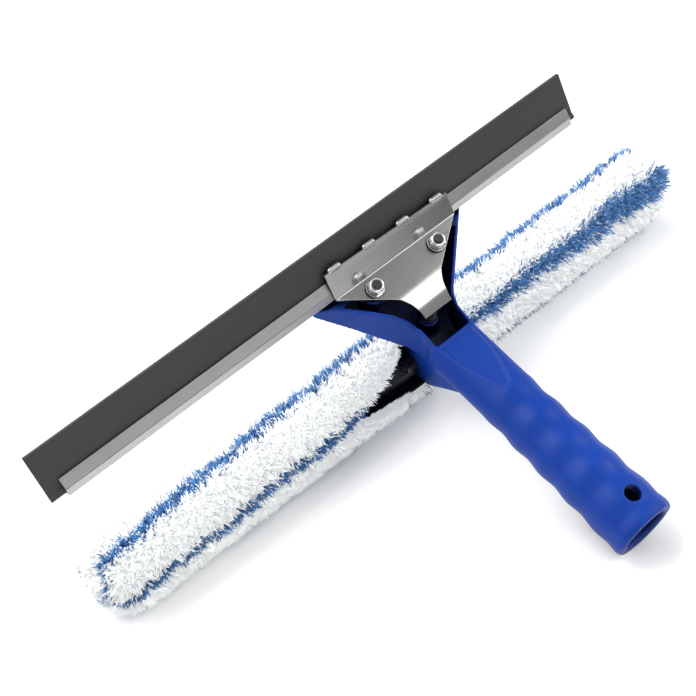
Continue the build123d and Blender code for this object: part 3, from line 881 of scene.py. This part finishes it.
# %% [markdown]
# ## Hook and loop tapes
#
# Inside the slit a strip of hooks meets a strip of loops, and together they hold the sleeve on
# the bar. Each is a thin woven strip with tiny tufts all over it. Both sides are one grid of
# points, where every second point is lifted, and a rim of faces joins the sides.


# %% Two tapes
TAPE_LONG = 0.014
TAPE_THICK = 0.0012
TAPE_WAY = ACROSS.cross(STEM).normalized()


def strip(name, node):
    """A closed strip in a tape's place, with rounded rims and tiny tufts all over both sides."""
    low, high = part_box(node)
    centre = (low + high) / 2
    u = np.linspace(-1, 1, 65)
    v = np.linspace(-1, 1, 35)
    grid_u, grid_v = (g.ravel() for g in np.meshgrid(u, v, indexing="ij"))
    tuft = np.add.outer(np.arange(len(u)), np.arange(len(v))).ravel() % 2
    rim_drop = 1 - 0.4 * np.maximum(np.abs(grid_u), np.abs(grid_v)) ** 10
    places = []
    for side in (-1, 1):
        lift = side * (0.70 + 0.28 * tuft) * rim_drop * TAPE_THICK / 2
        for a, b, c in zip(grid_u, grid_v, lift):
            flat = ACROSS * (a * (high.x - low.x) / 2) + STEM * (b * TAPE_LONG / 2)
            places.append(centre + flat + TAPE_WAY * c)
    n, m = len(u), len(v)
    faces = []
    for i in range(n - 1):
        for j in range(m - 1):
            a, b, c, d = i * m + j, i * m + j + 1, (i + 1) * m + j + 1, (i + 1) * m + j
            faces.append((a, b, c, d))
            faces.append((a + n * m, d + n * m, c + n * m, b + n * m))
    rim = [i * m for i in range(n)] + [(n - 1) * m + j for j in range(1, m)]
    rim += [i * m + m - 1 for i in range(n - 2, -1, -1)] + [j for j in range(m - 2, 0, -1)]
    for a, b in zip(rim, rim[1:] + rim[:1]):
        faces.append((a, b, b + n * m, a + n * m))
    mesh = bpy.data.meshes.new(name)
    mesh.from_pydata([tuple(p) for p in places], [], faces)
    mesh.validate()
    thing = linked(name, mesh)
    paint(thing, nylon)
    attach(thing, "handle")
    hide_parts(node)
    return thing


tapes = [strip("loop_strip", "loop_tape"), strip("hook_strip", "hook_tape")]
print("tapes:", [t.name for t in tapes])

# %% [markdown]
# ## One sleeve from its pieces
#
# The cloth, the pile and the stripes are one thing in the hand, so they all ride on the handle.
# The cloth stands for the measured sleeve.

# %% Hang the sleeve's pieces together
for thing in (cloth, *piles, stripes):
    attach(thing, "handle")
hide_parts("sleeve_pile", "sleeve_end_left", "sleeve_end_right")
for tape in tapes:
    low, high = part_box(tape.name.replace("strip", "tape"))

# %% [markdown]
# ## Floor, light and camera
#
# A pale floor and broad soft lights suit a shiny tool. What steel shows is mostly the room, so
# the lights are placed by where each bend of the clamp looks: one long box lights the slope
# above the tongue, and the flat panels see the even grey of the room. The plate's front panel
# looks at a card that goes from white to grey.

# %% The floor
FLOOR_HALF = 4.0
CORNERS = ((-1, -1), (1, -1), (1, 1), (-1, 1))


def one_face(name, points):
    """An object of one four-sided face."""
    mesh = bpy.data.meshes.new(name)
    mesh.from_pydata([tuple(p) for p in points], [], [(0, 1, 2, 3)])
    return linked(name, mesh)


floor = one_face("floor", [(a * FLOOR_HALF, b * FLOOR_HALF, 0) for a, b in CORNERS])
floor_paint, place, feed = new_finish("pale floor", specular_ior_level=0.1)
feed(
    base_color=place.speckle(3, 2).tint((0.90, 0.90, 0.90), (0.93, 0.93, 0.93)),
    roughness=0.85 + place.speckle(8) * 0.1,
)
paint(floor, floor_paint)
floor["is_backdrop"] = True

# %% The lights
CLAMP = middle("clamp_plate")


def softbox(name, way, distance, width, height, watts):
    """A rectangular lamp in that direction from the clamp, and facing it."""
    data = bpy.data.lights.new(name, "AREA")
    data.shape = "RECTANGLE"
    data.size, data.size_y = width, height
    data.energy = watts
    lamp = linked(name, data)
    way = Vector(way).normalized()
    lamp.location = CLAMP + way * distance
    lamp.rotation_mode = "QUATERNION"
    lamp.rotation_quaternion = way.to_track_quat("Z", "Y")


softbox("slope box", (0.383, -0.533, 0.757), distance=1.3, width=1.7, height=0.24, watts=4.2)
softbox("left box", (-1.0, 0.35, 0.75), distance=1.5, width=1.2, height=1.0, watts=9)
softbox("right box", (1.0, -0.55, 0.55), distance=1.6, width=1.0, height=0.8, watts=14)
softbox("rear box", (0.2, 1.0, 0.9), distance=1.6, width=1.6, height=0.8, watts=16)
softbox("top box", (-0.25, 0.35, 1.0), distance=1.7, width=1.2, height=0.8, watts=20)


def grey_card(name, way, distance, width, height, left, right, fade):
    """A grey card that only reflections see, so that polished steel has something to show."""
    way = Vector(way).normalized()
    turned = way.to_track_quat("Z", "Y").to_matrix()
    centre = CLAMP + way * distance
    halves = (Vector((a * width / 2, b * height / 2, 0)) for a, b in CORNERS)
    card = one_face(name, [centre + turned @ half for half in halves])
    material = bpy.data.materials.new(name)
    material.use_nodes = True
    tree = material.node_tree
    tree.nodes.remove(tree.nodes["Principled BSDF"])
    place = Wire(tree).node("ShaderNodeTexCoord", out="Object")
    across = place.node("ShaderNodeSeparateXYZ", sockets={0: place}, out="X")
    share = place.node(
        "ShaderNodeMapRange",
        sockets={"Value": across, "From Min": centre.x - fade, "From Max": centre.x + fade},
    )
    glow = place.node("ShaderNodeEmission", sockets={"Color": share.tint((left,) * 3, (right,) * 3)})
    tree.links.new(glow.socket, tree.nodes["Material Output"].inputs["Surface"])
    paint(card, material)
    for ray in ("camera", "diffuse", "shadow", "transmission", "volume_scatter"):
        setattr(card, "visible_" + ray, False)
    card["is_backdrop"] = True


grey_card(
    "front card", (0.383, -0.907, -0.161),
    distance=0.30, width=1.2, height=0.36, left=0.95, right=0.25, fade=0.055,
)

world = bpy.data.worlds.new("studio")
world.use_nodes = True
room = world.node_tree.nodes["Background"]
room.inputs["Color"].default_value = (0.98, 0.99, 1.0, 1)
room.inputs["Strength"].default_value = 0.46
bpy.context.scene.world = world
bpy.context.scene.view_settings.view_transform = "Standard"

# %% [markdown]
# ## The camera
#
# The camera looks down on the clamp from the front left, with a long lens, and is rolled so
# that the blade runs up to the right. Three things place it: where it stands, where it looks
# and which way is up.

# %% The camera
EYE = Vector((-0.2672, -0.3759, 0.6011))
LOOK = Vector((0.3200, 0.6094, -0.7255)).normalized()
HEAD_UP = Vector((0.5724, 0.4859, 0.6606))
LENS = 70.78
SENSOR = 36
right = LOOK.cross(HEAD_UP).normalized()
straight_up = right.cross(LOOK)
data = bpy.data.cameras.new("camera")
data.lens = LENS
data.sensor_width = SENSOR
data.clip_start = 0.01
camera = linked("camera", data)
turned = Matrix((right, straight_up, -LOOK)).transposed().to_4x4()
camera.matrix_world = Matrix.Translation(EYE) @ turned
bpy.context.scene.camera = camera
print("camera at", [round(x, 3) for x in EYE])

# %% [markdown]
# ## Sizes
#
# The pile stands a little proud of the measured parts. How far everything stands proud of
# them, on each side, is printed.

# %% Sizes
low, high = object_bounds()
proud = (*(cad_low - low), *(high - cad_high))
print("stands proud by", [round(x * 1000, 1) for x in proud], "mm")
